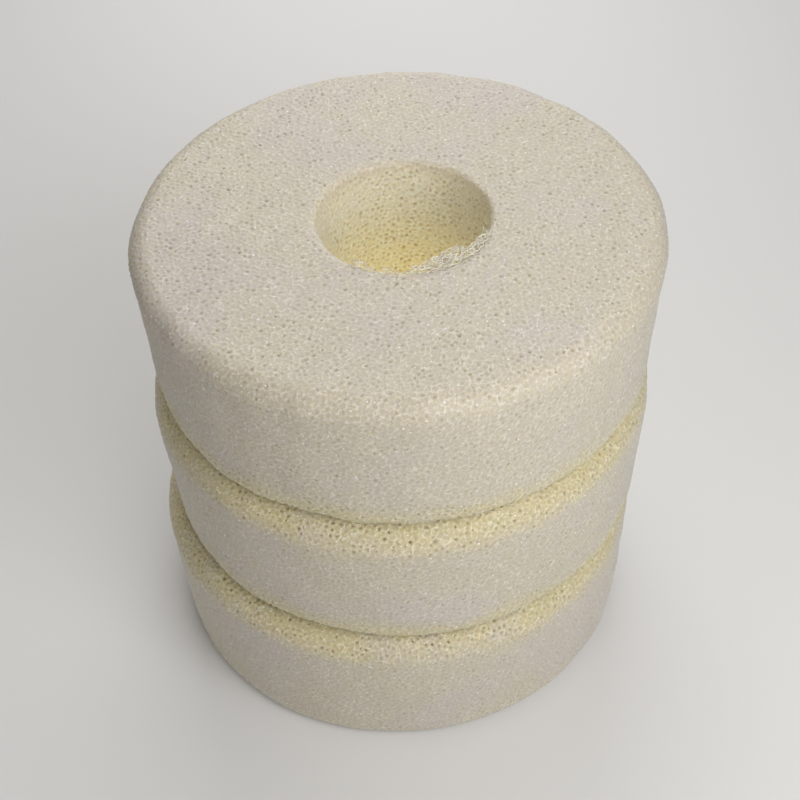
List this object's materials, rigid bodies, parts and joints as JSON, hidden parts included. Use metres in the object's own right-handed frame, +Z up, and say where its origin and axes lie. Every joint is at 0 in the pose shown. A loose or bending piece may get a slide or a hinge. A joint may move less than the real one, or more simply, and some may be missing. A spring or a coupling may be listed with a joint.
{
  "type": "foam filter stack",
  "caption": "Stack of thick round open-cell foam rings with a central bore, for a pond pressure filter.",
  "frame": {"origin": "centre of the underside of the lowest ring", "axes": "+Z up along the rings' shared axis and the bore"},
  "size_m": [0.1496, 0.1496, 0.15],
  "materials": {
    "foam": "open-cell reticulated polyurethane foam, soft and matte, cream"
  },
  "bodies": {
    "bottom": {"bottom_ring": "foam"},
    "middle": {"middle_ring": "foam"},
    "top": {"top_ring": "foam"}
  },
  "joints": [
    {"name": "middle_lift", "type": "slide", "parent": "bottom", "child": "middle", "axis": [0, 0, 1], "range_m": [0, 0.06]},
    {"name": "top_lift", "type": "slide", "parent": "middle", "child": "top", "axis": [0, 0, 1], "range_m": [0, 0.06]}
  ]
}
